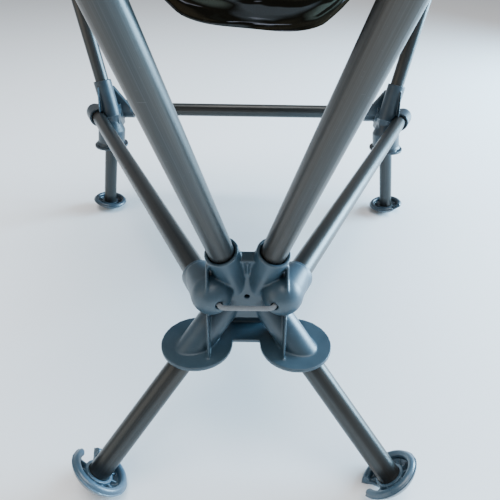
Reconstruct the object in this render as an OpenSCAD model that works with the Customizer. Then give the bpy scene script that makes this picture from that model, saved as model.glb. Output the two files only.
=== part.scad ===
/* [Tubes] */
// Outside diameter of every tube of the frame
tube_d = 14.5; // [14:0.5:15]
// Wall thickness of the tubes
tube_wall = 0.9; // [0.7:0.1:1.2]
// Radial play of a tube in a hub socket or a foot collar
fit_gap = 0.08; // [0.03:0.01:0.1]

/* [Base triangle] */
// Height of the three base bars above the ground
frame_h = 120.3; // [118:0.1:124]
// Half the distance between the two rear corners of the bar axes
base_half_w = 187; // [180:1:194]
// Distance from the front corner of the bar axes to the rear bar
base_depth = 388; // [380:1:396]

/* [Hubs] */
// Outside radius of the leg and upright sockets
socket_r = 9.7; // [9.4:0.1:10.2]
// Outside radius of the side bar and rear bar sleeves
sleeve_r = 10.25; // [9.8:0.05:10.6]
// Radius of the two round plates under the front hub
front_disc_r = 22; // [21:0.5:23]
// Radius of the round plate under each rear hub
rear_disc_r = 19.2; // [18.5:0.1:20]
// Thickness of the round plates
disc_t = 2.6; // [2.2:0.1:3]
// Thickness of the stiffening ribs
rib_t = 1.2; // [1:0.1:1.6]

/* [Feet] */
// Outside radius of a foot
foot_r = 19; // [18.5:0.1:19.5]
// Radius of the ball shape under a foot
ball_r = 25.5; // [25:0.1:26]
// Number of thin ribs inside a foot
foot_ribs = 11; // [9:1:12]

/* [Seat] */
// Height of the upright tips above the bar plane
tip_h = 250; // [240:1:260]
// Sag of the seat below the tips, at its deepest point
seat_sag = 126; // [110:1:130]
// Thickness of the seat cloth with its lining
cloth_t = 2.4; // [2:0.1:3]

/* [Cord] */
// Diameter of the elastic cord
cord_d = 2.8; // [2.4:0.1:3]

/* [Hidden] */
$fn = 64;

LEFT = -1;
RIGHT = 1;
tube_r = tube_d / 2;
bore_r = tube_r + fit_gap;

// The origin lies on the ground in the middle of the whole stool's box.
// Everything is laid out from the front corner of the bar axes.
origin_y = 179.13;

// Axes of the poles: a point on each and its direction, for the right side.
front_core = [0, 61.5, 1.5];
front_leg_dir = [0.844, -0.595, -1];
front_upright_foot = [7.9, 53.6, 4];
front_upright_dir = [0.24, -0.404, 1];
rear_core = [157.6, 366, 5];
rear_leg_dir = [0.171, -0.014, -1];
rear_upright_foot = [158.0, 360.0, 8];
rear_upright_dir = [0.199, 0.182, 1];
side_bar_dir = [base_half_w, base_depth, 0];
side_bar_length = norm(side_bar_dir);

// Where the tubes start and end, measured along their axes.
front_leg_start = 17;
rear_leg_start = 14;
side_bar_start = 44;
side_bar_end = side_bar_length - 17;
rear_bar_half = 161;
front_mouth_z = 31.5;
rear_mouth_z = 38;
disc_top_z = -34.5;

function unit(v) = v / norm(v);
function side(p, s) = [p[0] * s, p[1], p[2]];
function at_z(p, v, z) = p + v * ((z - p[2]) / v[2]);
function leg_core(front) = front ? front_core : rear_core;
function leg_dir(front) = front ? front_leg_dir : rear_leg_dir;
function leg_start(front) = front ? front_leg_start : rear_leg_start;
function upright_foot(front) = front ? front_upright_foot : rear_upright_foot;
function upright_dir(front) = front ? front_upright_dir : rear_upright_dir;
function leg_top(front) = leg_core(front) + unit(leg_dir(front)) * leg_start(front);
function ball_centre(front) = at_z(leg_core(front), leg_dir(front), ball_r - frame_h);
function upright_tip(front) = at_z(upright_foot(front), upright_dir(front), tip_h);

// Turns local +Z onto the direction v, at the point p.
module along(p, v) {
  translate(p)
    rotate([0, acos(v[2] / norm(v)), atan2(v[1], v[0])])
      children();
}

// Moves the working layout to the ground and the middle of the box.
module placed() {
  translate([0, -origin_y, frame_h])
    children();
}

module tube(from, to) {
  along(from, to - from)
    difference() {
      cylinder(r = tube_r, h = norm(to - from));
      translate([0, 0, -1])
        cylinder(r = tube_r - tube_wall, h = norm(to - from) + 2);
    }
}

// ---- hubs ----

mouth_step = 1.6;
mouth_gap = 0.55;
plate_front_y = 42;
plate_back_y = 66;
plate_half_w = 12;
core_half_w = 10.5;
rib_x = 22.4;
hole_r = 1.5;
cord_hole_r = cord_d / 2 + 0.3;
cord_mouth_r = cord_d / 2 + 0.9;

// The hollow of a socket: a bore that opens a little wider at its mouth.
module socket_bore(depth) {
  translate([0, 0, -0.2])
    cylinder(r = bore_r, h = depth + 0.2);
  translate([0, 0, depth - mouth_step])
    cylinder(r = bore_r + mouth_gap, h = 20);
}

function front_socket_depth() = (front_mouth_z - front_upright_foot[2]) / unit(front_upright_dir)[2];
function rear_socket_depth() = (rear_mouth_z - rear_upright_foot[2]) / unit(rear_upright_dir)[2];
function disc_centre(front) = at_z(leg_core(front), leg_dir(front), disc_top_z);

module sleeve_with_dome(tip, v, length) {
  along(tip, v) {
    translate([0, 0, sleeve_r])
      sphere(r = sleeve_r);
    translate([0, 0, sleeve_r])
      cylinder(r = sleeve_r, h = length - sleeve_r);
  }
}

// A rib in a vertical plane, drawn from y and z points.
module vertical_rib(x, points) {
  translate([x + rib_t / 2, 0, 0])
    rotate([90, 0, -90])
      linear_extrude(height = rib_t)
        polygon([for (p = points) [-p[0], p[1]]]);
}

front_dome_s = 35;
front_sleeve_length = 36;
// The rounded end of a front sleeve is fatter than its mouth and sits a little above the bar.
front_dome_r = 12.2;
front_dome_lift = 1.9;
front_taper_r = 9.25;
front_taper_length = 20.8;

module front_half(s) {
  along(side(front_upright_foot, s), side(front_upright_dir, s))
    translate([0, 0, -4])
      cylinder(r = socket_r, h = front_socket_depth() + 4);
  // The leg socket, cut off level at the round plate
  difference() {
    along(side(front_core, s), side(front_leg_dir, s))
      cylinder(r = socket_r, h = 70);
    translate([-100, 0, disc_top_z - 51])
      cube([200, 100, 50]);
  }
  along(side(unit(side_bar_dir) * front_dome_s, s), side(side_bar_dir, s)) {
    translate([0, 0, sleeve_r])
      cylinder(r = sleeve_r, h = front_sleeve_length - sleeve_r);
    translate([-front_dome_lift, 0, front_dome_r])
      sphere(r = front_dome_r);
    translate([-front_dome_lift, 0, front_dome_r])
      cylinder(r1 = front_dome_r, r2 = front_taper_r, h = front_taper_length);
  }
  translate([s * disc_centre(true)[0], disc_centre(true)[1], disc_top_z - disc_t])
    cylinder(r = front_disc_r, h = disc_t);
  vertical_rib(s * rib_x, [[26, disc_top_z], [30.5, -7], [36, -4], [50, -4], [58, disc_top_z]]);
  vertical_rib(s * rib_x, [[38, 3], [33, 9], [39, 24], [46, 24], [52, 3]]);
}

// The solid heart where the four poles point at each other
heart_front_y = 46;
heart_depth = 20;
heart_low_z = -20;
heart_h = 34;
// The web between the two upper sockets, leaning with them, and its ridge
web_y = 55.2;
web_lean = 22;
web_half_w = 11;
web_t = 7;
web_h = 29.5;
ridge_w = 1.6;
ridge_rise = 1.2;
// The wall behind the leg sockets, from the plate up to the heart
back_wall_y = 58;
back_wall_t = 3;

module front_core_block() {
  translate([-core_half_w, heart_front_y, heart_low_z])
    cube([2 * core_half_w, heart_depth, heart_h]);
  translate([0, web_y, 0])
    rotate([web_lean, 0, 0]) {
      translate([-web_half_w, -web_t / 2, 0])
        cube([2 * web_half_w, web_t, web_h]);
      translate([-ridge_w / 2, -web_t / 2 - ridge_rise, 0])
        cube([ridge_w, web_t / 2, web_h - 1]);
    }
  translate([-plate_half_w, plate_front_y, disc_top_z - disc_t])
    cube([2 * plate_half_w, plate_back_y - plate_front_y, disc_t]);
  translate([-core_half_w, back_wall_y, disc_top_z - 1])
    cube([2 * core_half_w, back_wall_t, heart_low_z - disc_top_z + 2]);
}

module front_hub() {
  color([0.27, 0.35, 0.43])
    placed()
      difference() {
        union() {
          front_half(LEFT);
          front_half(RIGHT);
          front_core_block();
        }
        for (s = [LEFT, RIGHT]) {
          along(side(front_upright_foot, s), side(front_upright_dir, s))
            socket_bore(front_socket_depth());
          along(side(leg_top(true), s), side(front_leg_dir, s))
            translate([0, 0, -0.2])
              cylinder(r = bore_r, h = 60);
          along(side(unit(side_bar_dir) * side_bar_start, s), side(side_bar_dir, s))
            socket_bore(front_dome_s + front_sleeve_length - side_bar_start);
          along(side(unit(side_bar_dir) * (front_dome_s - 2), s), side(side_bar_dir, s))
            translate([-front_dome_lift, 0, 0])
              cylinder(r = cord_mouth_r, h = 14);
          pole_cord_channel(true, s);
        }
        translate([0, 40, -3])
          rotate([-90, 0, 0])
            cylinder(r = hole_r, h = 40);
      }
}

// Cord passage between the leg socket and the upright socket of one side.
module pole_cord_channel(front, s) {
  from = side(leg_top(front), s);
  to = side(upright_foot(front), s);
  along(from, to - from)
    translate([0, 0, -1])
      cylinder(r = cord_hole_r, h = norm(to - from) + 2);
}

rear_dome_end = 8;
rear_sleeve_mouth_s = 39;
rear_bar_mouth_x = 137.5;
rear_bar_dome_x = 171;
drum_r = 15.2;
// The heart between the sockets and the sleeves, the gusset behind it and the rib in front
rear_heart_corner = [150, 360, -16];
rear_heart_size = [22, 26, 26];
gusset_back_y = 380;
gusset_t = 6;
rear_rib_x = 166.5;

module rear_half_solid() {
  // Upper socket
  along(rear_upright_foot, rear_upright_dir)
    translate([0, 0, -8])
      cylinder(r = socket_r, h = rear_socket_depth() + 8);
  // Lower socket: a drum on the round plate, under the core
  translate([disc_centre(false)[0], disc_centre(false)[1], disc_top_z - disc_t])
    cylinder(r = rear_disc_r, h = disc_t);
  along(disc_centre(false), -rear_leg_dir)
    rotate_extrude()
      polygon([[0, -0.8], [drum_r + 1.6, -0.8], [drum_r, 2], [drum_r, 19], [socket_r, 30], [socket_r, 44], [0, 44]]);
  // Side bar sleeve, its dome pointing away from the front
  sleeve_with_dome(
    side_bar_dir - unit(side_bar_dir) * rear_dome_end,
    -side_bar_dir,
    rear_sleeve_mouth_s - rear_dome_end
  );
  // Rear bar sleeve
  sleeve_with_dome([rear_bar_dome_x, base_depth, 0], [-1, 0, 0], rear_bar_dome_x - rear_bar_mouth_x);
  translate(rear_heart_corner)
    cube(rear_heart_size);
  // Gusset from the upper socket down to the rear bar sleeve
  translate([0, gusset_back_y, 0])
    rotate([90, 0, 0])
      linear_extrude(height = gusset_t)
        polygon([[162, 29], [155.5, 29], [138.5, 6], [138.5, 0], [162, 0]]);
  // Rib down the front of the upper socket, onto the side bar sleeve
  vertical_rib(rear_rib_x, [[357, 33.5], [353, 33.5], [346.5, 14], [346.5, 2], [362, 2], [362, 33.5]]);
}

module rear_hub(s) {
  color([0.27, 0.35, 0.43])
    placed()
      mirror([s == LEFT ? 1 : 0, 0, 0])
        difference() {
          rear_half_solid();
          along(rear_upright_foot, rear_upright_dir)
            socket_bore(rear_socket_depth());
          along(leg_top(false), rear_leg_dir)
            translate([0, 0, -0.2])
              cylinder(r = bore_r, h = 60);
          along(unit(side_bar_dir) * side_bar_end, -side_bar_dir)
            socket_bore(rear_sleeve_mouth_s - (side_bar_length - side_bar_end));
          along([rear_bar_half, base_depth, 0], [-1, 0, 0])
            socket_bore(rear_bar_half - rear_bar_mouth_x);
          pole_cord_channel(false, RIGHT);
          along(unit(side_bar_dir) * (side_bar_end - 3), side_bar_dir)
            cylinder(r = cord_hole_r, h = 14);
          along([rear_bar_half - 3, base_depth, 0], [1, 0, 0])
            cylinder(r = cord_hole_r, h = 20);
        }
}

// ---- bars ----

module side_bar(s) {
  color([0.33, 0.37, 0.42])
    placed()
      tube(side(unit(side_bar_dir) * side_bar_start, s), side(unit(side_bar_dir) * side_bar_end, s));
}

module rear_bar() {
  color([0.33, 0.37, 0.42])
    placed()
      tube([-rear_bar_half, base_depth, 0], [rear_bar_half, base_depth, 0]);
}

// ---- cords ----

// A round cord swept along a route, with one ring of points at each place.
cord_sides = 8;

module cord_along(route) {
  m = len(route);
  function heading(i) = unit(route[min(i + 1, m - 1)] - route[max(i - 1, 0)]);
  function sideways(i) = unit(cross(heading(i), [0.3, 0.2, 1]));
  points = [
    for (i = [0:m - 1], k = [0:cord_sides - 1])
      route[i] + cord_d / 2 * (
        sideways(i) * cos(360 * k / cord_sides) + cross(heading(i), sideways(i)) * sin(360 * k / cord_sides)
      )
  ];
  faces = concat(
    [[for (k = [0:cord_sides - 1]) k]],
    [[for (k = [0:cord_sides - 1]) m * cord_sides - 1 - k]],
    [
      for (i = [0:m - 2], k = [0:cord_sides - 1])
        each [
          [i * cord_sides + k, (i + 1) * cord_sides + k, i * cord_sides + (k + 1) % cord_sides],
          [i * cord_sides + (k + 1) % cord_sides, (i + 1) * cord_sides + k, (i + 1) * cord_sides + (k + 1) % cord_sides]
        ]
    ]
  );
  polyhedron(points = points, faces = faces);
}

// Points of an arc in the bar plane.
function arc_points(centre, r, a0, a1, n) = [
  for (i = [0:n]) centre + r * [cos(a0 + (a1 - a0) * i / n), sin(a0 + (a1 - a0) * i / n), 0]
];

// The cord leaves the domes and bends round outside the hubs.
bar_angle = atan2(base_depth, base_half_w);
rear_turn_r = 5;
rear_turn_back = rear_turn_r / tan(bar_angle / 2);
rear_turn_centre = [base_half_w - rear_turn_back, base_depth - rear_turn_r, 0];
rear_turn = arc_points(rear_turn_centre, rear_turn_r, bar_angle - 90, 90, 6);

front_turn_r = 4;
front_cord_y = front_dome_s * sin(bar_angle) - cord_d / 2 - 0.2;
front_turn_back = front_turn_r * tan(bar_angle / 2);
front_turn_centre = [front_cord_y / tan(bar_angle) - front_turn_back, front_cord_y + front_turn_r, 0];
front_turn = [
  for (p = arc_points(front_turn_centre, front_turn_r, -90, bar_angle - 90, 5)) p + [0, 0, front_dome_lift]
];

half_cord = concat(front_turn, rear_turn);

module base_cord() {
  mirrored = [for (i = [len(half_cord) - 1:-1:0]) side(half_cord[i], LEFT)];
  // The knot that joins the two ends is in the middle of the rear bar
  start = [[0.5, base_depth, 0]];
  finish = [[-0.5, base_depth, 0]];
  color([0.78, 0.80, 0.82])
    placed()
      cord_along(concat(finish, mirrored, half_cord, start));
}

// Each pole cord ends in a blind hole in the leg's plug, clear of the hole's floor.
plug_length = 9;
plug_inset = 0.4;
plug_floor = 4;
cord_end_gap = 0.4;
tip_plug_length = 14;

module pole_cord(front, s) {
  first = leg_end(front) - unit(leg_dir(front)) * (plug_inset + plug_floor + cord_end_gap);
  last = upright_tip(front) - unit(upright_dir(front)) * (tip_plug_length + 1);
  route = [first, leg_top(front), upright_foot(front), last];
  color([0.78, 0.80, 0.82])
    placed()
      cord_along([for (p = route) side(p, s)]);
}

// ---- legs and feet ----

foot_rim_drop = sqrt(ball_r * ball_r - foot_r * foot_r);
socket_floor = -5.3;
leg_end_gap = 0.3;
rim_r = 2.4;
rim_rise = 1.3;
dome_wall = 2.3;
collar_r = 9.5;
collar_top = 0.6;
notch_w = 12.6;
notch_centre_x = collar_r + 6.6;
foot_depth = 12;
cavity_floor = -5.8;
foot_rib_low = -7.5;
foot_rib_top = -0.6;

function leg_end(front) =
  ball_centre(front) + unit(leg_dir(front)) * (foot_rim_drop - socket_floor - leg_end_gap);

module leg(front, s) {
  color([0.33, 0.37, 0.42])
    placed()
      tube(side(leg_top(front), s), side(leg_end(front), s));
}

module leg_plug(front, s) {
  color([0.16, 0.18, 0.20])
    placed()
      along(side(leg_end(front), s), -side(leg_dir(front), s))
        translate([0, 0, plug_inset])
          difference() {
            cylinder(r = tube_r - tube_wall, h = plug_length);
            translate([0, 0, plug_floor])
              cylinder(r = cord_hole_r, h = plug_length);
          }
}

// One foot, its rim in the local XY plane and its ball side pointing down.
module foot_shape() {
  difference() {
    union() {
      difference() {
        intersection() {
          translate([0, 0, foot_rim_drop])
            sphere(r = ball_r, $fn = 96);
          translate([0, 0, -foot_depth])
            cylinder(r = ball_r + 1, h = foot_depth + rim_rise);
        }
        difference() {
          translate([0, 0, foot_rim_drop])
            sphere(r = ball_r - dome_wall, $fn = 96);
          translate([0, 0, cavity_floor - 20])
            cylinder(r = ball_r + 1, h = 20);
        }
      }
      rotate_extrude($fn = 96)
        translate([foot_r - rim_r, rim_rise])
          circle(r = rim_r, $fn = 32);
      translate([0, 0, cavity_floor - 0.6])
        cylinder(r = collar_r, h = collar_top - cavity_floor + 0.6);
      intersection() {
        translate([0, 0, foot_rim_drop])
          sphere(r = ball_r - 0.6, $fn = 96);
        for (i = [1:foot_ribs - 1])
          rotate([0, 0, 360 * i / foot_ribs])
            translate([collar_r - 1, -rib_t / 2, foot_rib_low])
              cube([foot_r - rim_r - collar_r + 0.6, rib_t, foot_rib_top - foot_rib_low]);
      }
    }
    translate([0, 0, socket_floor])
      cylinder(r = bore_r, h = 20);
    translate([notch_centre_x, 0, -foot_depth])
      cylinder(r = notch_w / 2, h = 2 * foot_depth);
    translate([notch_centre_x, -notch_w / 2, -foot_depth])
      cube([foot_depth, notch_w, 2 * foot_depth]);
  }
}

// Where each foot's notch has swivelled to.
front_left_turn = 98;
front_right_turn = 40;
rear_left_turn = 95;
rear_right_turn = 130;

module foot(front, s, turn) {
  color([0.27, 0.35, 0.43])
    placed()
      along(side(ball_centre(front), s), -side(leg_dir(front), s))
        translate([0, 0, -foot_rim_drop])
          rotate([0, 0, turn])
            foot_shape();
}

// ---- uprights ----

module upright(front, s) {
  color([0.33, 0.37, 0.42])
    placed()
      tube(side(upright_foot(front), s), side(upright_tip(front), s));
}

// Rounded end cap, its stem pushed into the tube.
module tip(front, s) {
  color([0.16, 0.18, 0.20])
    placed()
      along(side(upright_tip(front), s), side(upright_dir(front), s)) {
        translate([0, 0, -tip_plug_length])
          cylinder(r = tube_r - tube_wall, h = tip_plug_length);
        intersection() {
          translate([0, 0, -1])
            sphere(r = tube_r + 0.6);
          cylinder(r = tube_r, h = 12);
        }
      }
}

// ---- seat ----

pocket_gap = 0.8;
pocket_wall = 1.6;
pocket_depth = 17;
pocket_head = 8.2;

seat_top_z = tip_h + 2;
front_tip_x = upright_tip(true)[0];
rear_tip_x = upright_tip(false)[0];
front_y = upright_tip(true)[1];
rear_y = upright_tip(false)[1];
seat_inset = 13;
corner_inset = 5;
side_pinch = 14;
front_bow = 22;
rear_bow = 34;
front_hem_sag = 60;
rear_hem_sag = 62;
side_hem_sag = 26;
seat_n = 14;

function mix(a, b, t) = a + (b - a) * t;
// Sag along the middle line, from the front hem (0) to the rear hem (1).
function middle_sag(v) =
  mix(front_hem_sag, rear_hem_sag, v) + (seat_sag - mix(front_hem_sag, rear_hem_sag, v)) * pow(4 * v * (1 - v), 0.7);
// How much of the middle sag is left at u, from -1 at the left hem to 1 at the right.
function sag_share(u) = 1 - pow(abs(u), 3);
function seat_half(v) = mix(front_tip_x, rear_tip_x, v) - corner_inset - side_pinch * 4 * v * (1 - v);
function seat_point(u, v) = [
  u * seat_half(v),
  mix(front_y + seat_inset, rear_y - seat_inset, v) + front_bow * (1 - v) * (1 - u * u) - rear_bow * v * (1 - u * u),
  seat_top_z - middle_sag(v) * sag_share(u) - side_hem_sag * 4 * v * (1 - v) * (1 - sag_share(u))
];

module seat_sling() {
  n = seat_n;
  points = [
    for (k = [0, 1], j = [0:n], i = [0:n])
      seat_point(2 * i / n - 1, j / n) + [0, 0, (k - 0.5) * cloth_t]
  ];
  function id(k, j, i) = k * (n + 1) * (n + 1) + j * (n + 1) + i;
  faces = concat(
    [for (j = [0:n - 1], i = [0:n - 1]) [id(1, j, i), id(1, j + 1, i + 1), id(1, j, i + 1)]],
    [for (j = [0:n - 1], i = [0:n - 1]) [id(1, j, i), id(1, j + 1, i), id(1, j + 1, i + 1)]],
    [for (j = [0:n - 1], i = [0:n - 1]) [id(0, j, i), id(0, j, i + 1), id(0, j + 1, i + 1)]],
    [for (j = [0:n - 1], i = [0:n - 1]) [id(0, j, i), id(0, j + 1, i + 1), id(0, j + 1, i)]],
    [for (i = [0:n - 1]) [id(0, 0, i), id(1, 0, i), id(1, 0, i + 1), id(0, 0, i + 1)]],
    [for (i = [0:n - 1]) [id(0, n, i), id(0, n, i + 1), id(1, n, i + 1), id(1, n, i)]],
    [for (j = [0:n - 1]) [id(0, j, 0), id(0, j + 1, 0), id(1, j + 1, 0), id(1, j, 0)]],
    [for (j = [0:n - 1]) [id(0, j, n), id(1, j, n), id(1, j + 1, n), id(0, j + 1, n)]]
  );
  color([0.30, 0.32, 0.30])
    placed()
      polyhedron(points = points, faces = faces);
}

hem_w = 6;
hem_t = 4.4;
hem_n = 12;

// The seat's edge, once round.
function hem_path() = concat(
  [for (i = [0:hem_n - 1]) seat_point(2 * i / hem_n - 1, 0)],
  [for (i = [0:hem_n - 1]) seat_point(1, i / hem_n)],
  [for (i = [0:hem_n - 1]) seat_point(1 - 2 * i / hem_n, 1)],
  [for (i = [0:hem_n - 1]) seat_point(-1, 1 - i / hem_n)]
);

module seat_hem() {
  path = hem_path();
  m = len(path);
  function out(i) =
    let (t = unit(path[(i + 1) % m] - path[(i + m - 1) % m])) unit([t[1], -t[0], 0]);
  points = [
    for (i = [0:m - 1])
      each [
        path[i] + out(i) * hem_w / 2 + [0, 0, -hem_t / 2],
        path[i] + out(i) * hem_w / 2 + [0, 0, hem_t / 2],
        path[i] - out(i) * hem_w / 2 + [0, 0, hem_t / 2],
        path[i] - out(i) * hem_w / 2 + [0, 0, -hem_t / 2]
      ]
  ];
  faces = [
    for (i = [0:m - 1], k = [0:3])
      each [
        [4 * i + k, 4 * i + (k + 1) % 4, 4 * ((i + 1) % m) + (k + 1) % 4],
        [4 * i + k, 4 * ((i + 1) % m) + (k + 1) % 4, 4 * ((i + 1) % m) + k]
      ]
  ];
  color([0.12, 0.12, 0.11])
    placed()
      polyhedron(points = points, faces = faces);
}

// A cloth hood over one upright tip: upright walls, closed top, open below,
// long enough towards the middle for the leaning tube to drop straight out.
module pocket(front, s) {
  top = side(upright_tip(front), s);
  lean = side(upright_dir(front), s);
  drift = lean * (-pocket_depth / lean[2]);
  low = top + [drift[0], drift[1], 0];
  reach = norm([drift[0], drift[1]]);
  inner_r = tube_r * 1.08 + pocket_gap;
  color([0.12, 0.12, 0.11])
    placed()
      translate(top)
        rotate([0, 0, atan2(drift[1], drift[0])])
          difference() {
            slot_block(inner_r + pocket_wall, reach, -pocket_depth, pocket_head + pocket_wall);
            slot_block(inner_r, reach, -pocket_depth - 1, pocket_head);
          }
}

module slot_block(r, reach, z0, z1) {
  translate([0, 0, z0]) {
    cylinder(r = r, h = z1 - z0);
    translate([reach, 0, 0])
      cylinder(r = r, h = z1 - z0);
    translate([0, -r, 0])
      cube([reach, 2 * r, z1 - z0]);
  }
}

front_hub();
rear_hub(LEFT);  // rear_left_hub
rear_hub(RIGHT);  // rear_right_hub
side_bar(LEFT);  // left_side_bar
side_bar(RIGHT);  // right_side_bar
rear_bar();
base_cord();
leg(true, LEFT);  // front_left_leg
leg(true, RIGHT);  // front_right_leg
leg(false, LEFT);  // rear_left_leg
leg(false, RIGHT);  // rear_right_leg
foot(true, LEFT, front_left_turn);  // front_left_foot
foot(true, RIGHT, front_right_turn);  // front_right_foot
foot(false, LEFT, rear_left_turn);  // rear_left_foot
foot(false, RIGHT, rear_right_turn);  // rear_right_foot
leg_plug(true, LEFT);  // front_left_leg_plug
leg_plug(true, RIGHT);  // front_right_leg_plug
leg_plug(false, LEFT);  // rear_left_leg_plug
leg_plug(false, RIGHT);  // rear_right_leg_plug
upright(true, LEFT);  // front_left_upright
upright(true, RIGHT);  // front_right_upright
upright(false, LEFT);  // rear_left_upright
upright(false, RIGHT);  // rear_right_upright
tip(true, LEFT);  // front_left_tip
tip(true, RIGHT);  // front_right_tip
tip(false, LEFT);  // rear_left_tip
tip(false, RIGHT);  // rear_right_tip
pole_cord(true, LEFT);  // front_left_pole_cord
pole_cord(true, RIGHT);  // front_right_pole_cord
pole_cord(false, LEFT);  // rear_left_pole_cord
pole_cord(false, RIGHT);  // rear_right_pole_cord
seat_sling();
seat_hem();
pocket(true, LEFT);  // front_left_pocket
pocket(true, RIGHT);  // front_right_pocket
pocket(false, LEFT);  // rear_left_pocket
pocket(false, RIGHT);  // rear_right_pocket
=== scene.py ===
import math

import bmesh
import bpy
import numpy as np
from mathutils import Euler, Matrix, Vector


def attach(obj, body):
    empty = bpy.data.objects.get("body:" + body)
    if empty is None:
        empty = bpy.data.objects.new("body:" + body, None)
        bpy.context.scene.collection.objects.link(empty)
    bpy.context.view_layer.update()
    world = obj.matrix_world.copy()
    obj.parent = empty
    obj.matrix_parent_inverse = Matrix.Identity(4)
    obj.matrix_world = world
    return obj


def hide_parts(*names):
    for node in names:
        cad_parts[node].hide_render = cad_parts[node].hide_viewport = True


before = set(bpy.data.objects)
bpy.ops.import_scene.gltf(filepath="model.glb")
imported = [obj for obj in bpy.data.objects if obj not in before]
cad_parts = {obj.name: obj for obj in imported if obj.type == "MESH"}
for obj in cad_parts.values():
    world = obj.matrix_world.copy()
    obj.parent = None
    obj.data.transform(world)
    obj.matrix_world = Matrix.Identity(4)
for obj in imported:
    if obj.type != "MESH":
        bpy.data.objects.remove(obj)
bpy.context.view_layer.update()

# ---- Studio ----
# A pale seamless floor and a white room. A cool window stands low on the right, a soft white light hangs
# overhead, and a weak warm one fills the left.
FLOOR_SIZE = 9.0


def shader_material(name, base, roughness, metallic=0.0):
    """A material with a Principled shader whose plain values sit on its own sockets."""
    material = bpy.data.materials.new(name)
    material.use_nodes = True
    principled = material.node_tree.nodes["Principled BSDF"]
    principled.inputs["Base Color"].default_value = (*base, 1)
    principled.inputs["Roughness"].default_value = roughness
    principled.inputs["Metallic"].default_value = metallic
    return material, material.node_tree, principled


floor_mesh = bpy.data.meshes.new("floor")
half = FLOOR_SIZE / 2
floor_corners = [(-half, -half, 0), (half, -half, 0), (half, half, 0), (-half, half, 0)]
floor_mesh.from_pydata(floor_corners, [], [(0, 1, 2, 3)])
floor = bpy.data.objects.new("floor", floor_mesh)
bpy.context.scene.collection.objects.link(floor)
floor_material = shader_material("floor_paper", (0.95, 0.95, 0.95), 0.9)[0]
floor_mesh.materials.append(floor_material)

world = bpy.data.worlds.new("white_room")
bpy.context.scene.world = world
world.use_nodes = True
world.node_tree.nodes["Background"].inputs["Color"].default_value = (0.93, 0.96, 1.0, 1)
world.node_tree.nodes["Background"].inputs["Strength"].default_value = 0.45


def area_light(name, place, target, size, power, colour):
    light = bpy.data.lights.new(name, "AREA")
    light.shape = "RECTANGLE"
    light.size, light.size_y = size
    light.energy = power
    light.color = colour
    lamp = bpy.data.objects.new(name, light)
    lamp.location = place
    aim = Vector(target) - Vector(place)
    lamp.rotation_euler = aim.to_track_quat("-Z", "Y").to_euler()
    bpy.context.scene.collection.objects.link(lamp)


area_light("window", (1.45, 0.45, 0.42), (0, 0, 0.16), (1.0, 0.70), 120, (0.44, 0.74, 1.0))
area_light("overhead", (0.1, -0.2, 1.9), (0, 0, 0.1), (1.5, 1.5), 50, (0.97, 0.98, 1.0))
area_light("warm_fill", (-1.5, -0.9, 0.55), (0, 0, 0.15), (1.2, 1.0), 5, (1.0, 0.90, 0.76))

CAMERA_PLACE = (-0.0002, -0.3436, 0.2935)
CAMERA_TILT = 34.18
CAMERA_HEADING = 0.41
CAMERA_ROLL = 1.03
CAMERA_LENS = 33.3

camera_data = bpy.data.cameras.new("camera")
camera_data.lens = CAMERA_LENS
camera_data.sensor_width = 36.0
camera_data.clip_start = 0.01
camera = bpy.data.objects.new("camera", camera_data)
camera.location = CAMERA_PLACE
aim = Euler((math.radians(90 - CAMERA_TILT), 0, math.radians(-CAMERA_HEADING))).to_matrix()
camera.rotation_euler = (aim @ Matrix.Rotation(math.radians(CAMERA_ROLL), 3, "Z")).to_euler()
bpy.context.scene.collection.objects.link(camera)
bpy.context.scene.camera = camera

# ---- Hubs ----
# Three glass-filled nylon mouldings, slate blue and satin, hold all the tubes at the corners of the base. The
# tool leaves round inner corners between the sockets, and thin ribs stiffen them. The rear pair is painted
# darker: painted shade.
MM = 0.001
HUB_VOXEL = 0.55 * MM
HUB_PASSES = 5
HUB_KEEP = 0.42
HUB_COLOURS = ((0.021, 0.046, 0.066), (0.034, 0.067, 0.092), (0.12, 0.17, 0.21))
# The rear hubs are the same nylon painted darker: painted shade, not a darker moulding.
SHADED_REAR_HUB_COLOURS = ((0.012, 0.025, 0.036), (0.019, 0.037, 0.051), (0.08, 0.11, 0.14))
HUB_ROUGHNESS = 0.40


def bake_modifiers(made):
    """Turns an object with live modifiers into the plain mesh that they give."""
    depsgraph = bpy.context.evaluated_depsgraph_get()
    result = bpy.data.meshes.new_from_object(made.evaluated_get(depsgraph))
    made.modifiers.clear()
    old = made.data
    made.data = result
    bpy.data.meshes.remove(old)
    return made


def moulded_copy(node, name, voxel, passes, keep, material):
    """A copy of a CAD shape with every edge and inner corner rounded, as a moulding tool leaves them."""
    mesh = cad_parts[node].data.copy()
    work = bmesh.new()
    work.from_mesh(mesh)
    bmesh.ops.remove_doubles(work, verts=work.verts, dist=0.002 * MM)
    work.to_mesh(mesh)
    work.free()
    mesh.materials.clear()
    mesh.materials.append(material)
    made = bpy.data.objects.new(name, mesh)
    bpy.context.scene.collection.objects.link(made)
    remesh = made.modifiers.new("voxels", "REMESH")
    remesh.mode = "VOXEL"
    remesh.voxel_size = voxel
    smooth = made.modifiers.new("rounding", "SMOOTH")
    smooth.factor = 0.5
    smooth.iterations = passes
    thin = made.modifiers.new("thinning", "DECIMATE")
    thin.ratio = keep
    bake_modifiers(made)
    made.data.shade_smooth()
    return made


def new_group(name, inputs, outputs):
    """A shader node group: inputs map a name to a socket type and a default, and outputs are float names."""
    group = bpy.data.node_groups.new(name, "ShaderNodeTree")
    for label, (kind, default) in inputs.items():
        socket = group.interface.new_socket(name=label, in_out="INPUT", socket_type=kind)
        if default is not None:
            socket.default_value = default
    for label in outputs:
        group.interface.new_socket(name=label, in_out="OUTPUT", socket_type="NodeSocketFloat")
    return group, group.nodes.new("NodeGroupInput"), group.nodes.new("NodeGroupOutput")


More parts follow.
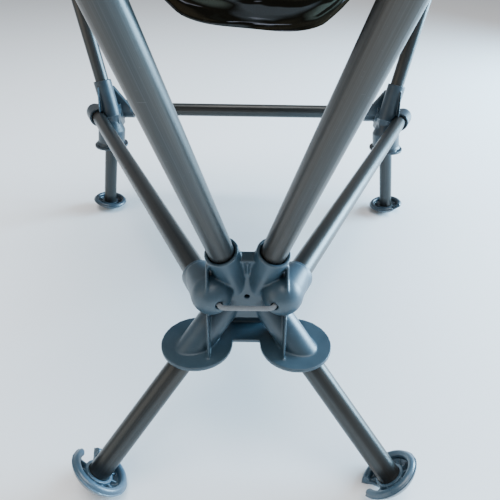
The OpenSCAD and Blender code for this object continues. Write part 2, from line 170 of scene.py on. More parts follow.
def add_noise(tree, vector, scale, detail=2.0, roughness=0.5):
    noise = tree.nodes.new("ShaderNodeTexNoise")
    noise.inputs["Scale"].default_value = scale
    noise.inputs["Detail"].default_value = detail
    noise.inputs["Roughness"].default_value = roughness
    tree.links.new(vector, noise.inputs["Vector"])
    return noise.outputs["Fac"]


def add_math(tree, operation, a, b):
    """A maths node on two values, each a socket or a number."""
    node = tree.nodes.new("ShaderNodeMath")
    node.operation = operation
    for socket, value in zip(node.inputs, (a, b)):
        if isinstance(value, (int, float)):
            socket.default_value = value
        else:
            tree.links.new(value, socket)
    return node.outputs["Value"]


def add_mix(tree, factor, a, b):
    """A colour mix; the factor is a socket, and a and b are sockets or colours."""
    node = tree.nodes.new("ShaderNodeMix")
    node.data_type = "RGBA"
    sockets = {socket.identifier: socket for socket in node.inputs}
    tree.links.new(factor, sockets["Factor_Float"])
    for label, value in (("A_Color", a), ("B_Color", b)):
        if isinstance(value, tuple):
            sockets[label].default_value = (*value, 1)
        else:
            tree.links.new(value, sockets[label])
    return next(socket for socket in node.outputs if socket.identifier == "Result_Color")


def add_range(tree, value, low, high, start=0.0, end=1.0):
    """Takes low..high of a value to start..end, clamped."""
    node = tree.nodes.new("ShaderNodeMapRange")
    for label, number in (("From Min", low), ("From Max", high), ("To Min", start), ("To Max", end)):
        node.inputs[label].default_value = number
    tree.links.new(value, node.inputs["Value"])
    return node.outputs["Result"]


def coordinates(tree, kind="Object", turn=(0, 0, 0), size=(1, 1, 1), shift=(0, 0, 0)):
    """Object or UV coordinates in metres; turn and size are those of the pattern."""
    place = tree.nodes.new("ShaderNodeTexCoord")
    mapping = tree.nodes.new("ShaderNodeMapping")
    mapping.vector_type = "TEXTURE"
    mapping.inputs["Location"].default_value = shift
    mapping.inputs["Rotation"].default_value = turn
    mapping.inputs["Scale"].default_value = size
    tree.links.new(place.outputs[kind], mapping.inputs["Vector"])
    return mapping.outputs["Vector"]


def add_bump(tree, principled, height, strength, distance):
    bump = tree.nodes.new("ShaderNodeBump")
    bump.inputs["Strength"].default_value = strength
    bump.inputs["Distance"].default_value = distance
    tree.links.new(height, bump.inputs["Height"])
    tree.links.new(bump.outputs["Normal"], principled.inputs["Normal"])


def place_group(tree, group, vector, values=None):
    node = tree.nodes.new("ShaderNodeGroup")
    node.node_tree = group
    tree.links.new(vector, node.inputs["Vector"])
    for label, value in (values or {}).items():
        node.inputs[label].default_value = value
    return node.outputs


def make_grain_group():
    """The fine grain of a moulded or blasted skin, and the broad cloudiness of its colour."""
    group, start, end = new_group(
        "skin_grain",
        {"Vector": ("NodeSocketVector", None)},
        ("Grain", "Cloud"),
    )
    group.links.new(add_noise(group, start.outputs["Vector"], 2600.0), end.inputs["Grain"])
    group.links.new(add_noise(group, start.outputs["Vector"], 42.0, 4.0, 0.6), end.inputs["Cloud"])
    return group


def make_wear_group():
    """Dust that gathers in patches, and short fine scuffs."""
    group, start, end = new_group(
        "dust_and_scuffs",
        {"Vector": ("NodeSocketVector", None), "Amount": ("NodeSocketFloat", 0.5)},
        ("Dust", "Scuffs"),
    )
    patches = add_range(group, add_noise(group, start.outputs["Vector"], 55.0, 6.0, 0.7), 0.48, 0.72)
    specks = add_range(group, add_noise(group, start.outputs["Vector"], 900.0, 3.0, 0.6), 0.42, 0.68)
    dust = add_math(group, "MULTIPLY", patches, specks)
    streaks = group.nodes.new("ShaderNodeMapping")
    streaks.inputs["Rotation"].default_value = (0.6, 0.3, 0.9)
    streaks.inputs["Scale"].default_value = (160.0, 1900.0, 1900.0)
    group.links.new(start.outputs["Vector"], streaks.inputs["Vector"])
    scuffs = add_range(group, add_noise(group, streaks.outputs["Vector"], 1.0), 0.70, 0.78)
    group.links.new(add_math(group, "MULTIPLY", dust, start.outputs["Amount"]), end.inputs["Dust"])
    group.links.new(add_math(group, "MULTIPLY", scuffs, start.outputs["Amount"]), end.inputs["Scuffs"])
    return group


grain_group = make_grain_group()
wear_group = make_wear_group()


def moulded_plastic(name, colours, roughness, wear):
    """Satin moulded plastic; colours are its own, its paler clouds and its worn places."""
    colour, pale, worn = colours
    material, tree, principled = shader_material(name, colour, roughness)
    place = coordinates(tree)
    skin = place_group(tree, grain_group, place)
    marks = place_group(tree, wear_group, place, {"Amount": wear})
    tint = add_mix(tree, add_range(tree, skin["Cloud"], 0.35, 0.70), colour, pale)
    tint = add_mix(tree, marks["Scuffs"], tint, worn)
    tint = add_mix(tree, add_math(tree, "MULTIPLY", marks["Dust"], 0.4), tint, worn)
    tree.links.new(tint, principled.inputs["Base Color"])
    cloudy = add_range(tree, skin["Cloud"], 0.3, 0.75, roughness - 0.06, roughness + 0.06)
    rough = add_math(tree, "ADD", cloudy, add_math(tree, "MULTIPLY", marks["Dust"], 0.25))
    tree.links.new(rough, principled.inputs["Roughness"])
    add_bump(tree, principled, skin["Grain"], 0.22, 0.12 * MM)
    principled.inputs["Specular IOR Level"].default_value = 0.6
    return material


front_nylon = moulded_plastic("front_hub_nylon", HUB_COLOURS, HUB_ROUGHNESS, 0.30)
shaded_rear_nylon = moulded_plastic("rear_hub_nylon_painted_shade", SHADED_REAR_HUB_COLOURS, HUB_ROUGHNESS, 0.30)
for hub, nylon in (("front_hub", front_nylon), ("rear_left_hub", shaded_rear_nylon), ("rear_right_hub", shaded_rear_nylon)):
    moulding = moulded_copy(hub, f"{hub}_moulding", HUB_VOXEL, HUB_PASSES, HUB_KEEP, nylon)
    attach(moulding, "frame")
    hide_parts(hub)

# ---- Tubes ----
# Thin drawn aluminium tube, anodised a dark gunmetal with a satin skin. Drawing leaves faint lines along
# each tube, so every tube's finish is turned to its own axis.
SIDES = ("left", "right")
ENDS = ("front", "rear")
CORNERS = [f"{end}_{side}" for end in ENDS for side in SIDES]
TUBE_COLOUR = (0.050, 0.048, 0.044)
TUBE_COOL = (0.036, 0.043, 0.046)
TUBE_WORN = (0.22, 0.24, 0.25)
TUBE_ROUGHNESS = 0.33
TUBE_METALLIC = 0.65


def drawn_tube(name, turn):
    """The finish of one tube; turn carries local Z onto the tube's axis."""
    material, tree, principled = shader_material(name, TUBE_COLOUR, TUBE_ROUGHNESS, TUBE_METALLIC)
    drawn = add_noise(tree, coordinates(tree, "Object", turn, (0.0004, 0.0004, 0.06)), 1.0, 3.0, 0.6)
    cloud = add_noise(tree, coordinates(tree, "Object", turn, (0.012, 0.012, 0.12)), 1.0)
    place = coordinates(tree)
    skin = place_group(tree, grain_group, place)
    marks = place_group(tree, wear_group, place, {"Amount": 0.16})
    tint = add_mix(tree, add_range(tree, cloud, 0.38, 0.66), TUBE_COLOUR, TUBE_COOL)
    tint = add_mix(tree, add_range(tree, drawn, 0.45, 0.80, 0.0, 0.10), tint, TUBE_WORN)
    tint = add_mix(tree, marks["Scuffs"], tint, TUBE_WORN)
    tree.links.new(tint, principled.inputs["Base Color"])
    lines = add_range(tree, drawn, 0.3, 0.7, TUBE_ROUGHNESS - 0.03, TUBE_ROUGHNESS + 0.04)
    rough = add_math(tree, "ADD", lines, add_math(tree, "MULTIPLY", marks["Dust"], 0.3))
    tree.links.new(rough, principled.inputs["Roughness"])
    add_bump(tree, principled, skin["Grain"], 0.08, 0.05 * MM)
    return material


def long_axis(node):
    """The direction that a tube's points spread along most."""
    places = np.array([v.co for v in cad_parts[node].data.vertices])
    return Vector(np.linalg.svd(places - places.mean(axis=0), full_matrices=False)[2][0])


def refinish(node, material):
    """Gives a CAD shape that stays in view its real finish."""
    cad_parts[node].data.materials.clear()
    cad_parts[node].data.materials.append(material)


tubes = ["left_side_bar", "right_side_bar", "rear_bar"]
tubes += [f"{corner}_{kind}" for corner in CORNERS for kind in ("leg", "upright")]
for tube in tubes:
    turn = long_axis(tube).to_track_quat("Z", "Y").to_euler()
    refinish(tube, drawn_tube(f"{tube}_anodised", turn))

# ---- Feet ----
# Round cups moulded in slate nylon: a thick rolled rim, a collar round the tube and thin ribs between them,
# with a notch to one side. The ball-shaped underside is scuffed by the ground. The rear pair is painted
# darker: painted shade.
FOOT_VOXEL = 0.40 * MM
FOOT_PASSES = 2
FOOT_KEEP = 0.5
foot_nylon = moulded_plastic(
    "foot_nylon", ((0.036, 0.072, 0.104), (0.058, 0.102, 0.140), (0.26, 0.31, 0.35)), 0.32, 0.4
)
# The rear feet are the same nylon painted darker: painted shade, not a darker moulding.
rear_foot_nylon_painted_shade = moulded_plastic(
    "rear_foot_nylon_painted_shade", ((0.018, 0.038, 0.056), (0.030, 0.055, 0.078), (0.15, 0.19, 0.22)), 0.36, 0.4
)
for corner in CORNERS:
    nylon = foot_nylon if corner.startswith("front") else rear_foot_nylon_painted_shade
    cup = moulded_copy(f"{corner}_foot", f"{corner}_foot_cup", FOOT_VOXEL, FOOT_PASSES, FOOT_KEEP, nylon)
    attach(cup, f"{corner}_foot")
    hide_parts(f"{corner}_foot")

# ---- Plugs and tips ----
# Small black polypropylene stoppers: one in the bottom of each leg, which holds the cord's end, and a rounded
# cap in the top of each upright.
stopper_black = moulded_plastic(
    "stopper_black", ((0.016, 0.017, 0.018), (0.026, 0.027, 0.029), (0.09, 0.09, 0.09)), 0.5, 0.3
)
for corner in CORNERS:
    refinish(f"{corner}_leg_plug", stopper_black)
    refinish(f"{corner}_tip", stopper_black)

# ---- Cords ----
# Elastic cord: rubber strands in a grey braided sleeve. One cord runs through the three base bars, and shows
# across the front hub and round the outside of each rear hub. The others run inside the poles.
CORD_RADIUS = 1.4 * MM
SLEEVE_THICKNESS = 0.3 * MM
YARN_RADIUS = 0.26 * MM
YARNS = 8
YARN_SIDES = 6
YARN_LIFT = 0.09 * MM
CORE_SIDES = 10
YARN_TURN = 8.0 * MM
YARN_STEP = 0.55 * MM
BRAID_REACH = 16.0 * MM
CORD_COLOURS = ((0.27, 0.30, 0.325), (0.11, 0.12, 0.135), (0.17, 0.17, 0.17))
ROUTE_STEP = 1 * MM
ORIGIN = Vector((0, -179.13, 120.3))
BASE_HALF_W = 187.0
BASE_DEPTH = 388.0
FRONT_DOME_S = 35.0
FRONT_DOME_LIFT = 1.9
FRONT_TURN_R = 4.0
FRONT_TURN_GAP = 0.2
REAR_TURN_R = 5.0
TURN_STEPS = 10


def braided_sleeve():
    """Grey polyester yarn with soiled patches and fine fibres."""
    clean, shade, soiled = CORD_COLOURS
    material, tree, principled = shader_material("braided_sleeve", clean, 0.75)
    place = coordinates(tree)
    fibres = add_noise(tree, place, 3200.0, 3.0, 0.6)
    tint = add_mix(tree, add_range(tree, fibres, 0.35, 0.65, 0.0, 0.5), clean, shade)
    dirt = add_range(tree, add_noise(tree, place, 160.0, 4.0, 0.6), 0.5, 0.75, 0.0, 0.4)
    tint = add_mix(tree, dirt, tint, soiled)
    tree.links.new(tint, principled.inputs["Base Color"])
    add_bump(tree, principled, fibres, 0.5, 0.1 * MM)
    principled.inputs["Sheen Weight"].default_value = 0.2
    return material


def make_sweep_nodes():
    """Geometry Nodes that sweep a round section of a given radius along every line of a mesh."""
    tree = bpy.data.node_groups.new("sweep_lines", "GeometryNodeTree")
    tree.interface.new_socket(name="Geometry", in_out="INPUT", socket_type="NodeSocketGeometry")
    tree.interface.new_socket(name="Radius", in_out="INPUT", socket_type="NodeSocketFloat")
    tree.interface.new_socket(name="Sides", in_out="INPUT", socket_type="NodeSocketInt")
    tree.interface.new_socket(name="Material", in_out="INPUT", socket_type="NodeSocketMaterial")
    tree.interface.new_socket(name="Geometry", in_out="OUTPUT", socket_type="NodeSocketGeometry")
    start = tree.nodes.new("NodeGroupInput")
    end = tree.nodes.new("NodeGroupOutput")
    lines = tree.nodes.new("GeometryNodeMeshToCurve")
    section = tree.nodes.new("GeometryNodeCurvePrimitiveCircle")
    sweep = tree.nodes.new("GeometryNodeCurveToMesh")
    sweep.inputs["Fill Caps"].default_value = True
    smooth = tree.nodes.new("GeometryNodeSetShadeSmooth")
    realize = tree.nodes.new("GeometryNodeRealizeInstances")
    finish = tree.nodes.new("GeometryNodeSetMaterial")
    for source, target in (
        (start.outputs["Geometry"], lines.inputs["Mesh"]),
        (start.outputs["Radius"], section.inputs["Radius"]),
        (start.outputs["Sides"], section.inputs["Resolution"]),
        (lines.outputs["Curve"], sweep.inputs["Curve"]),
        (section.outputs["Curve"], sweep.inputs["Profile Curve"]),
        (sweep.outputs["Mesh"], smooth.inputs["Geometry"]),
        (smooth.outputs["Geometry"], realize.inputs["Geometry"]),
        (realize.outputs["Geometry"], finish.inputs["Geometry"]),
        (start.outputs["Material"], finish.inputs["Material"]),
        (finish.outputs["Geometry"], end.inputs["Geometry"]),
    ):
        tree.links.new(source, target)
    return tree


sweep_nodes = make_sweep_nodes()


def swept_lines(name, lines, radius, sides, material):
    """One object with a round section swept along each line; a line is a list of points in metres."""
    points = [tuple(p) for line in lines for p in line]
    edges = []
    first = 0
    for line in lines:
        edges += [(first + i, first + i + 1) for i in range(len(line) - 1)]
        first += len(line)
    mesh = bpy.data.meshes.new(name)
    mesh.from_pydata(points, edges, [])
    made = bpy.data.objects.new(name, mesh)
    bpy.context.scene.collection.objects.link(made)
    modifier = made.modifiers.new("sweep", "NODES")
    modifier.node_group = sweep_nodes
    values = {"Radius": radius, "Sides": sides, "Material": material}
    for item in sweep_nodes.interface.items_tree:
        if item.in_out == "INPUT" and item.name in values:
            modifier[item.identifier] = values[item.name]
    bake_modifiers(made)
    return made


def arc(centre, radius, from_angle, to_angle, steps):
    angles = [math.radians(from_angle + (to_angle - from_angle) * i / steps) for i in range(steps + 1)]
    return [Vector((centre[0] + radius * math.cos(a), centre[1] + radius * math.sin(a), 0)) for a in angles]


def right_half_route():
    """The base cord's right half, from the front turn to the rear turn, as the CAD lays it."""
    angle = math.degrees(math.atan2(BASE_DEPTH, BASE_HALF_W))
    half_turn = math.tan(math.radians(angle / 2))
    front_y = FRONT_DOME_S * math.sin(math.radians(angle)) - CORD_RADIUS / MM - FRONT_TURN_GAP
    front_x = front_y / math.tan(math.radians(angle)) - FRONT_TURN_R * half_turn
    rear_x = BASE_HALF_W - REAR_TURN_R / half_turn
    front = arc((front_x, front_y + FRONT_TURN_R), FRONT_TURN_R, -90, angle - 90, TURN_STEPS)
    front = [p + Vector((0, 0, FRONT_DOME_LIFT)) for p in front]
    rear = arc((rear_x, BASE_DEPTH - REAR_TURN_R), REAR_TURN_R, angle - 90, 90, TURN_STEPS)
    return front + rear


def even_points(line, step):
    """Points at even steps along a line of points."""
    lengths = [0.0]
    for a, b in zip(line, line[1:]):
        lengths.append(lengths[-1] + (b - a).length)
    count = max(2, int(lengths[-1] / step))
    places = np.linspace(0, lengths[-1], count + 1)
    columns = [np.interp(places, lengths, [p[k] for p in line]) for k in range(3)]
    return [Vector(p) for p in zip(*columns)]


def braid(line):
    """Yarns wound both ways round a nearly level line, passing over and under each other."""
    line = even_points(line, YARN_STEP)
    up = Vector((0, 0, 1))
    yarns = []
    for way in (1, -1):
        for k in range(YARNS):
            yarn = []
            for i, place in enumerate(line):
                ahead = (line[min(i + 1, len(line) - 1)] - line[max(i - 1, 0)]).normalized()
                out = ahead.cross(up)
                angle = way * (i * YARN_STEP / YARN_TURN * math.tau) + k * math.tau / YARNS
                weave = YARN_LIFT * way * math.cos(angle * YARNS / 2)
                reach = CORD_RADIUS - YARN_RADIUS + weave
                yarn.append(place + (out * math.cos(angle) + up * math.sin(angle)) * reach)
            yarns.append(yarn)
    return yarns


cord_finish = braided_sleeve()
right_half = [(p + ORIGIN) * MM for p in right_half_route()]
left_half = [Vector((-p.x, p.y, p.z)) for p in reversed(right_half)]
loop = left_half + right_half
core_radius = CORD_RADIUS - SLEEVE_THICKNESS
core = swept_lines("base_cord_core", [loop + [loop[0]]], core_radius, CORE_SIDES, cord_finish)
front_y, rear_y = right_half[0].y, right_half[-1].y
turns = [[p for p in even_points(loop, ROUTE_STEP) if p.y < front_y + BRAID_REACH]]
for half in (left_half, right_half):
    turns.append([p for p in even_points(half, ROUTE_STEP) if p.y > rear_y - BRAID_REACH])
yarns = [yarn for turn in turns for yarn in braid(turn)]
sleeve = swept_lines("base_cord_sleeve", yarns, YARN_RADIUS, YARN_SIDES, cord_finish)
for piece in (core, sleeve):
    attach(piece, "frame")
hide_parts("base_cord")
for corner in CORNERS:
    refinish(f"{corner}_pole_cord", cord_finish)

# ---- Sling ----
# The seat is one panel of printed camouflage cloth, hung by its four corners. It starts in its hung shape,
# settles a few millimetres between its hems as simulated cloth, and is then given its thickness.
TIP_FRONT = (66.94, -45.78)
TIP_REAR = (206.16, 404.04)
SEAT_TOP = 252.0
CORNER_INSET = 5.0
END_INSET = 13.0
SIDE_PINCH = 14.0
FRONT_BOW = 22.0
REAR_BOW = 34.0
FRONT_SAG = 60.0
REAR_SAG = 62.0
SIDE_SAG = 26.0
MIDDLE_SAG = 119.0
RIGHT_DROOP = 7.0
CELLS = 72
CLOTH_THICKNESS = 0.9 * MM
SETTLE_FRAMES = 24
MOST_SETTLING = 5.0 * MM


def mix(a, b, t):
    return a + (b - a) * t


def ease(t):
    """Rises smoothly from 0 to 1 as t does."""
    t = min(max(t, 0.0), 1.0)
    return t * t * (3 - 2 * t)


def seat_half(v):
    return mix(TIP_FRONT[0], TIP_REAR[0], v) - CORNER_INSET - SIDE_PINCH * 4 * v * (1 - v)


def hung_point(u, v):
    """A point of the panel: u is -1 at the left hem and 1 at the right, v is 0 in front and 1 at the rear."""
    middle = 4 * v * (1 - v)
    ends = mix(FRONT_SAG, REAR_SAG, v)
    sag = ends + (MIDDLE_SAG - ends) * middle**0.7
    share = 1 - abs(u) ** 3
    droop = RIGHT_DROOP * ease((u + 0.2) / 0.9) * ease((1 - u) / 0.3) * middle
    y = mix(TIP_FRONT[1] + END_INSET, TIP_REAR[1] - END_INSET, v)
    y += (FRONT_BOW * (1 - v) - REAR_BOW * v) * (1 - u * u)
    z = SEAT_TOP - sag * share - SIDE_SAG * middle * (1 - share) - droop
    return (Vector((u * seat_half(v), y, z)) + ORIGIN) * MM


def camouflage():
    """Printed cloth: olive, brown, grey-teal and slate leaves and dark outlines, with pale flecks painted in
    as glints of light.
    """
    material, tree, principled = shader_material("camouflage_cloth", (0.02, 0.019, 0.014), 0.85)
    cloth = coordinates(tree, "UV")
    wander = tree.nodes.new("ShaderNodeTexNoise")
    wander.inputs["Scale"].default_value = 22.0
    wander.inputs["Detail"].default_value = 3.0
    tree.links.new(cloth, wander.inputs["Vector"])
    bend = tree.nodes.new("ShaderNodeVectorMath")
    bend.operation = "MULTIPLY_ADD"
    bend.inputs[1].default_value = (0.035, 0.035, 0.0)
    tree.links.new(wander.outputs["Color"], bend.inputs[0])
    tree.links.new(cloth, bend.inputs[2])

    def leaves(turn, stretch, size, low, high, shift):
        mapping = tree.nodes.new("ShaderNodeMapping")
        mapping.inputs["Location"].default_value = (shift, 0.7 * shift, 0)
        mapping.inputs["Rotation"].default_value = (0, 0, turn)
        mapping.inputs["Scale"].default_value = (1, stretch, 1)
        tree.links.new(bend.outputs["Vector"], mapping.inputs["Vector"])
        return add_range(tree, add_noise(tree, mapping.outputs["Vector"], size, 1.5, 0.4), low, high)

    olive = (0.0170, 0.0128, 0.0078)
    brown = (0.0110, 0.0085, 0.0055)
    shadow = (0.0050, 0.0042, 0.0029)
    teal = (0.040, 0.043, 0.034)
    slate = (0.036, 0.037, 0.037)
    pale = (0.14, 0.13, 0.14)
    tint = add_mix(tree, leaves(0.4, 1.0, 14, 0.44, 0.54, 0.0), olive, brown)
    tint = add_mix(tree, leaves(1.1, 1.3, 15, 0.500, 0.535, 3.1), tint, shadow)
    tint = add_mix(tree, leaves(1.1, 1.3, 15, 0.535, 0.565, 3.1), tint, slate)
    tint = add_mix(tree, leaves(-0.5, 1.2, 14, 0.500, 0.535, 7.7), tint, shadow)
    tint = add_mix(tree, leaves(-0.5, 1.2, 14, 0.535, 0.565, 7.7), tint, teal)
    tint = add_mix(tree, leaves(0.9, 2.4, 26, 0.560, 0.600, 11.3), tint, shadow)
    # Pale flecks: painted glints, painted highlights scattered through the print.
    tint = add_mix(tree, leaves(-1.0, 2.8, 40, 0.645, 0.70, 17.9), tint, pale)
    weave = tree.nodes.new("ShaderNodeTexBrick")
    weave.offset = 0.5
    for label, value in (
        ("Scale", 1.0),
        ("Brick Width", 0.0012),
        ("Row Height", 0.0006),
        ("Mortar Size", 0.00012),
        ("Mortar Smooth", 0.8),
    ):
        weave.inputs[label].default_value = value
    tree.links.new(cloth, weave.inputs["Vector"])
    gaps = weave.outputs["Fac"]
    # The gaps between the yarns are darkened towards the shadow colour: painted shade in the weave.
    tint = add_mix(tree, add_math(tree, "MULTIPLY", gaps, 0.35), tint, shadow)
    tree.links.new(tint, principled.inputs["Base Color"])
    rough = add_range(tree, wander.outputs["Fac"], 0.3, 0.7, 0.88, 0.97)
    tree.links.new(rough, principled.inputs["Roughness"])
    add_bump(tree, principled, add_math(tree, "SUBTRACT", 1.0, gaps), 0.5, 0.15 * MM)
    principled.inputs["Specular IOR Level"].default_value = 0.0
    return material


def surface_object(name, points, faces, material, uvs):
    """A smooth object from points in metres, with a pair of metres for each point as its UV."""
    mesh = bpy.data.meshes.new(name)
    mesh.from_pydata([tuple(p) for p in points], [], faces)
    layer = mesh.uv_layers.new(name="UVMap")
    for loop_corner in mesh.loops:
        layer.data[loop_corner.index].uv = uvs[loop_corner.vertex_index]
    mesh.materials.append(material)
    mesh.shade_smooth()
    made = bpy.data.objects.new(name, mesh)
    bpy.context.scene.collection.objects.link(made)
    return made


def face_outwards(made):
    work = bmesh.new()
    work.from_mesh(made.data)
    bmesh.ops.recalc_face_normals(work, faces=work.faces)
    work.to_mesh(made.data)
    work.free()


def grid_faces(columns, rows):
    wide = columns + 1
    corners = [(j * wide + i, j * wide + i + 1) for j in range(rows) for i in range(columns)]
    return [(a, b, b + wide, a + wide) for a, b in corners]


def settle(panel, frames):
    """Lets the panel sag between its hems under its own weight, and returns where its points come to rest."""
    ends = (0, CELLS)
    wide = CELLS + 1
    edge = [i for i in range(wide**2) if i % wide in ends or i // wide in ends]
    panel.vertex_groups.new(name="hems").add(edge, 1.0, "REPLACE")
    cloth = panel.modifiers.new("cloth", "CLOTH")
    cloth.settings.quality = 6
    cloth.settings.mass = 0.25
    cloth.settings.tension_stiffness = 20
    cloth.settings.compression_stiffness = 20
    cloth.settings.shear_stiffness = 6
    cloth.settings.bending_stiffness = 0.5
    cloth.settings.air_damping = 4.0
    cloth.settings.vertex_group_mass = "hems"
    cloth.settings.shrink_min = -0.02
    cloth.collision_settings.use_collision = False
    cloth.point_cache.frame_start = 1
    cloth.point_cache.frame_end = frames
    for number in range(1, frames + 1):
        bpy.context.scene.frame_set(number)
    depsgraph = bpy.context.evaluated_depsgraph_get()
    places = np.array([v.co for v in panel.evaluated_get(depsgraph).data.vertices])
    panel.modifiers.clear()
    panel.vertex_groups.clear()
    bpy.context.scene.frame_set(1)
    return places


cloth_finish = camouflage()
steps = [i / CELLS for i in range(CELLS + 1)]
hung = np.array([[hung_point(2 * s - 1, t) for s in steps] for t in steps])
cut_x = np.pad(np.linalg.norm(np.diff(hung, axis=1), axis=2).cumsum(axis=1), ((0, 0), (1, 0)))
cut_x -= cut_x[:, [CELLS // 2]]
cut_y = np.pad(np.linalg.norm(np.diff(hung, axis=0), axis=2).cumsum(axis=0), ((1, 0), (0, 0)))
cut = list(zip(cut_x.ravel().tolist(), cut_y.ravel().tolist()))
sling = surface_object("sling_cloth", hung.reshape(-1, 3), grid_faces(CELLS, CELLS), cloth_finish, cut)
rest = hung
shift = settle(sling, SETTLE_FRAMES).reshape(hung.shape) - hung
far = np.linalg.norm(shift, axis=2, keepdims=True)
rest = hung + shift * np.minimum(1.0, MOST_SETTLING / np.maximum(far, 1e-9))
sling.data.vertices.foreach_set("co", rest.reshape(-1).astype(np.float32))
sling.data.update()


def cloth_at(u, v):
    """A point of the settled cloth."""
    x = min(max((u + 1) / 2 * CELLS, 0), CELLS - 1e-6)
    y = min(max(v * CELLS, 0), CELLS - 1e-6)
    i, j = int(x), int(y)
    low = mix(rest[j, i], rest[j, i + 1], x - i)
    high = mix(rest[j + 1, i], rest[j + 1, i + 1], x - i)
    return Vector(mix(low, high, y - j))


def cloth_up(u, v):
    """The cloth's upward normal."""
    across = cloth_at(min(u + 0.02, 1), v) - cloth_at(max(u - 0.02, -1), v)
    along = cloth_at(u, min(v + 0.02, 1)) - cloth_at(u, max(v - 0.02, 0))
    return across.cross(along).normalized()


thickness = sling.modifiers.new("thickness", "SOLIDIFY")
thickness.thickness = CLOTH_THICKNESS
thickness.offset = 0.0
bake_modifiers(sling)
face_outwards(sling)
sling.data.shade_smooth()
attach(sling, "seat")
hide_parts("seat_sling")

# ---- Hems and corners ----
# Black polyester tape is folded over the panel's four edges, and a triangle of the same black weave doubles
# each corner. Both are sewn down with two rows of thread on each face.
TAPE_WIDTH = 14.0 * MM
TAPE_LIFT = 0.95 * MM
TAPE_STEPS = 90
TAPE_SECTION = [(1.0, 0.9), (0.66, 1.05), (0.33, 1.05), (0.06, 1.0), (-0.05, 0.0),
                (0.06, -1.0), (0.33, -1.05), (0.66, -1.05), (1.0, -0.9), (1.03, 0.0)]
PATCH_SIZE = 55.0 * MM
PATCH_CELLS = 14
PATCH_THICKNESS = 3.2 * MM
SEAT_LENGTH = (TIP_REAR[1] - TIP_FRONT[1] - 2 * END_INSET) * MM
THREAD_RADIUS = 0.27 * MM
STITCH = 3.0 * MM
STITCH_STEP = 4.3 * MM
STITCH_DIP = 0.25 * MM
STITCH_BOW = 0.16 * MM
SEAM_STEPS = 160
TAPE_SEAMS = (0.28, 0.80)
TAPE_SEAM_LIFT = 1.05 * TAPE_LIFT
PATCH_SEAMS = (0.88, 0.96)
THREAD_SIDES = 5


def ribbed_tape():
    """Black woven tape with fine cross ribs and a little fluff."""
    material, tree, principled = shader_material("black_tape", (0.011, 0.011, 0.011), 0.85)
    cloth = coordinates(tree, "UV")
    ribs = tree.nodes.new("ShaderNodeTexWave")
    ribs.inputs["Scale"].default_value = 330.0
    ribs.inputs["Distortion"].default_value = 0.4
    tree.links.new(cloth, ribs.inputs["Vector"])
    fluff = add_noise(tree, cloth, 900.0, 3.0, 0.6)
    # The raised ribs are painted lighter and the troughs darker, following the bump: painted light and shade
    # on the weave.
    raised = add_range(tree, ribs.outputs["Fac"], 0.2, 0.9)
    tint = add_mix(tree, raised, (0.006, 0.006, 0.006), (0.018, 0.018, 0.017))
    tint = add_mix(tree, add_range(tree, fluff, 0.5, 0.8, 0.0, 0.4), tint, (0.045, 0.043, 0.038))
    tree.links.new(tint, principled.inputs["Base Color"])
    add_bump(tree, principled, ribs.outputs["Fac"], 0.6, 0.2 * MM)
    principled.inputs["Specular IOR Level"].default_value = 0.3
    principled.inputs["Sheen Weight"].default_value = 0.1
    return material


def waxed_thread():
    material, tree, principled = shader_material("waxed_thread", (0.05, 0.05, 0.045), 0.55)
    place = coordinates(tree)
    twist = add_noise(tree, place, 2200.0)
    tint = add_mix(tree, add_range(tree, twist, 0.35, 0.65), (0.025, 0.025, 0.023), (0.085, 0.083, 0.075))
    tree.links.new(tint, principled.inputs["Base Color"])
    return material


def in_from(edge, t, inset):
    """The u and v of a place along one edge of the panel, some metres in from it."""
    if edge in SIDES:
        u = 1 - inset / (seat_half(t) * MM)
        return (-u if edge == "left" else u), t
    v = inset / SEAT_LENGTH
    return 2 * t - 1, (v if edge == "front" else 1 - v)


def hem_tape(edge, material):
    """The folded tape along one edge."""
    points, uvs = [], []
    travelled = 0.0
    before = cloth_at(*in_from(edge, 0, 0))
    for step in range(TAPE_STEPS + 1):
        t = step / TAPE_STEPS
        rim = cloth_at(*in_from(edge, t, 0))
        inward = (cloth_at(*in_from(edge, t, TAPE_WIDTH / 2)) - rim).normalized()
        travelled += (rim - before).length
        before = rim
        for k, (reach, lift) in enumerate(TAPE_SECTION):
            place = in_from(edge, t, max(reach, 0) * TAPE_WIDTH)
            overhang = inward * min(reach, 0) * TAPE_WIDTH
            points.append(cloth_at(*place) + overhang + cloth_up(*place) * lift * TAPE_LIFT)
            uvs.append((travelled, k * TAPE_WIDTH / 4))
    n = len(TAPE_SECTION)
    faces = [(s * n + k, s * n + (k + 1) % n, (s + 1) * n + (k + 1) % n, (s + 1) * n + k)
             for s in range(TAPE_STEPS) for k in range(n)]
    faces += [tuple(range(n)), tuple(TAPE_STEPS * n + k for k in reversed(range(n)))]
    tape = surface_object(f"hem_{edge}", points, faces, material, uvs)
    face_outwards(tape)
    return tape


def corner_place(end, side, across_in, along_in):
    """The u and v of a place some metres in from the two edges that meet at a corner."""
    v = along_in / SEAT_LENGTH
    v = v if end == "front" else 1 - v
    u = 1 - across_in / (seat_half(v) * MM)
    return (-u if side == "left" else u), v


def corner_patch(end, side, material):
    """The doubled triangle of cloth at one corner, on both faces of the panel."""
    points, uvs, index = [], [], {}
    for j in range(PATCH_CELLS + 1):
        for i in range(PATCH_CELLS + 1 - j):
            index[i, j] = len(points)
            place = (i * PATCH_SIZE / PATCH_CELLS, j * PATCH_SIZE / PATCH_CELLS)
            points.append(cloth_at(*corner_place(end, side, *place)))
            uvs.append(place)
    faces = []
    for (i, j), a in index.items():
        if (i + 1, j) in index and (i, j + 1) in index:
            faces.append((a, index[i + 1, j], index[i, j + 1]))
        if (i + 1, j + 1) in index:
            faces.append((index[i + 1, j], index[i + 1, j + 1], index[i, j + 1]))
    patch = surface_object(f"{end}_{side}_patch", points, faces, material, uvs)
    doubling = patch.modifiers.new("doubling", "SOLIDIFY")
    doubling.thickness = PATCH_THICKNESS
    doubling.offset = 0.0
    bake_modifiers(patch)
    face_outwards(patch)
    return patch


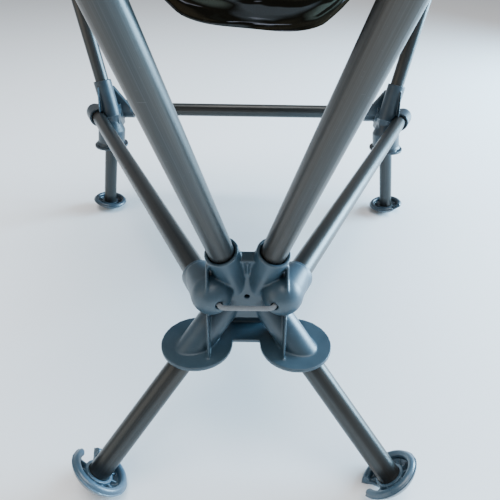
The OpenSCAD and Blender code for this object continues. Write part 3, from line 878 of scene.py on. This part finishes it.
def stitches_along(places, lift):
    """Short bowed stitches over a line of u and v places; a negative lift puts them on the lower face."""
    line = [cloth_at(u, v) + cloth_up(u, v) * lift for u, v in places]
    normals = [cloth_up(u, v) * math.copysign(1, lift) for u, v in places]
    lengths = np.concatenate([[0], np.cumsum([(b - a).length for a, b in zip(line, line[1:])])])

    def at(distance, rise):
        i = min(int(np.searchsorted(lengths, distance, side="right")) - 1, len(line) - 2)
        share = (distance - lengths[i]) / max(lengths[i + 1] - lengths[i], 1e-9)
        return line[i].lerp(line[i + 1], share) + normals[i] * rise

    stitches = []
    start = STITCH_STEP
    while start + STITCH < lengths[-1] - STITCH_STEP:
        stitches.append([
            at(start, -STITCH_DIP),
            at(start + 0.25 * STITCH, STITCH_BOW),
            at(start + 0.75 * STITCH, STITCH_BOW),
            at(start + STITCH, -STITCH_DIP),
        ])
        start += STITCH_STEP
    return stitches


tape_finish = ribbed_tape()
thread_finish = waxed_thread()
seams = []
fine_steps = [i / SEAM_STEPS for i in range(SEAM_STEPS + 1)]
for edge in ENDS + SIDES:
    tape = hem_tape(edge, tape_finish)
    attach(tape, "seat")
    if edge == "front":
        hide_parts("seat_hem")
    for inset in TAPE_SEAMS:
        row = [in_from(edge, t, inset * TAPE_WIDTH) for t in fine_steps]
        seams += stitches_along(row, TAPE_SEAM_LIFT) + stitches_along(row, -TAPE_SEAM_LIFT)
for end in ENDS:
    for side in SIDES:
        patch = corner_patch(end, side, tape_finish)
        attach(patch, "seat")
        for share in PATCH_SEAMS:
            reach = share * PATCH_SIZE
            row = [corner_place(end, side, t * reach, (1 - t) * reach) for t in fine_steps]
            seams += stitches_along(row, PATCH_THICKNESS / 2) + stitches_along(row, -PATCH_THICKNESS / 2)
thread = swept_lines("seam_thread", seams, THREAD_RADIUS, THREAD_SIDES, thread_finish)
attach(thread, "seat")

# ---- Pockets ----
# Doubled black webbing sewn into a hood at each corner of the seat. A hood drops over the tip of an upright
# and carries the corner, so its walls are thick and soft-edged.
POCKET_VOXEL = 0.6 * MM
POCKET_PASSES = 9
POCKET_KEEP = 0.45


def webbing():
    """Black webbing with a herringbone weave."""
    material, tree, principled = shader_material("black_webbing", (0.010, 0.010, 0.010), 0.82)
    place = coordinates(tree)
    twill = tree.nodes.new("ShaderNodeTexWave")
    twill.bands_direction = "DIAGONAL"
    twill.inputs["Scale"].default_value = 260.0
    twill.inputs["Distortion"].default_value = 1.5
    tree.links.new(place, twill.inputs["Vector"])
    # The raised twill is painted lighter and the troughs darker, following the bump: painted light and shade
    # on the weave.
    raised = add_range(tree, twill.outputs["Fac"], 0.2, 0.9)
    tint = add_mix(tree, raised, (0.006, 0.006, 0.006), (0.022, 0.021, 0.020))
    fluff = add_range(tree, add_noise(tree, place, 900.0, 3.0, 0.6), 0.5, 0.8, 0.0, 0.4)
    tint = add_mix(tree, fluff, tint, (0.045, 0.043, 0.038))
    tree.links.new(tint, principled.inputs["Base Color"])
    add_bump(tree, principled, twill.outputs["Fac"], 0.6, 0.25 * MM)
    principled.inputs["Specular IOR Level"].default_value = 0.3
    return material


webbing_finish = webbing()
for corner in CORNERS:
    hood = moulded_copy(
        f"{corner}_pocket", f"{corner}_pocket_hood", POCKET_VOXEL, POCKET_PASSES, POCKET_KEEP, webbing_finish
    )
    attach(hood, "seat")
    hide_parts(f"{corner}_pocket")
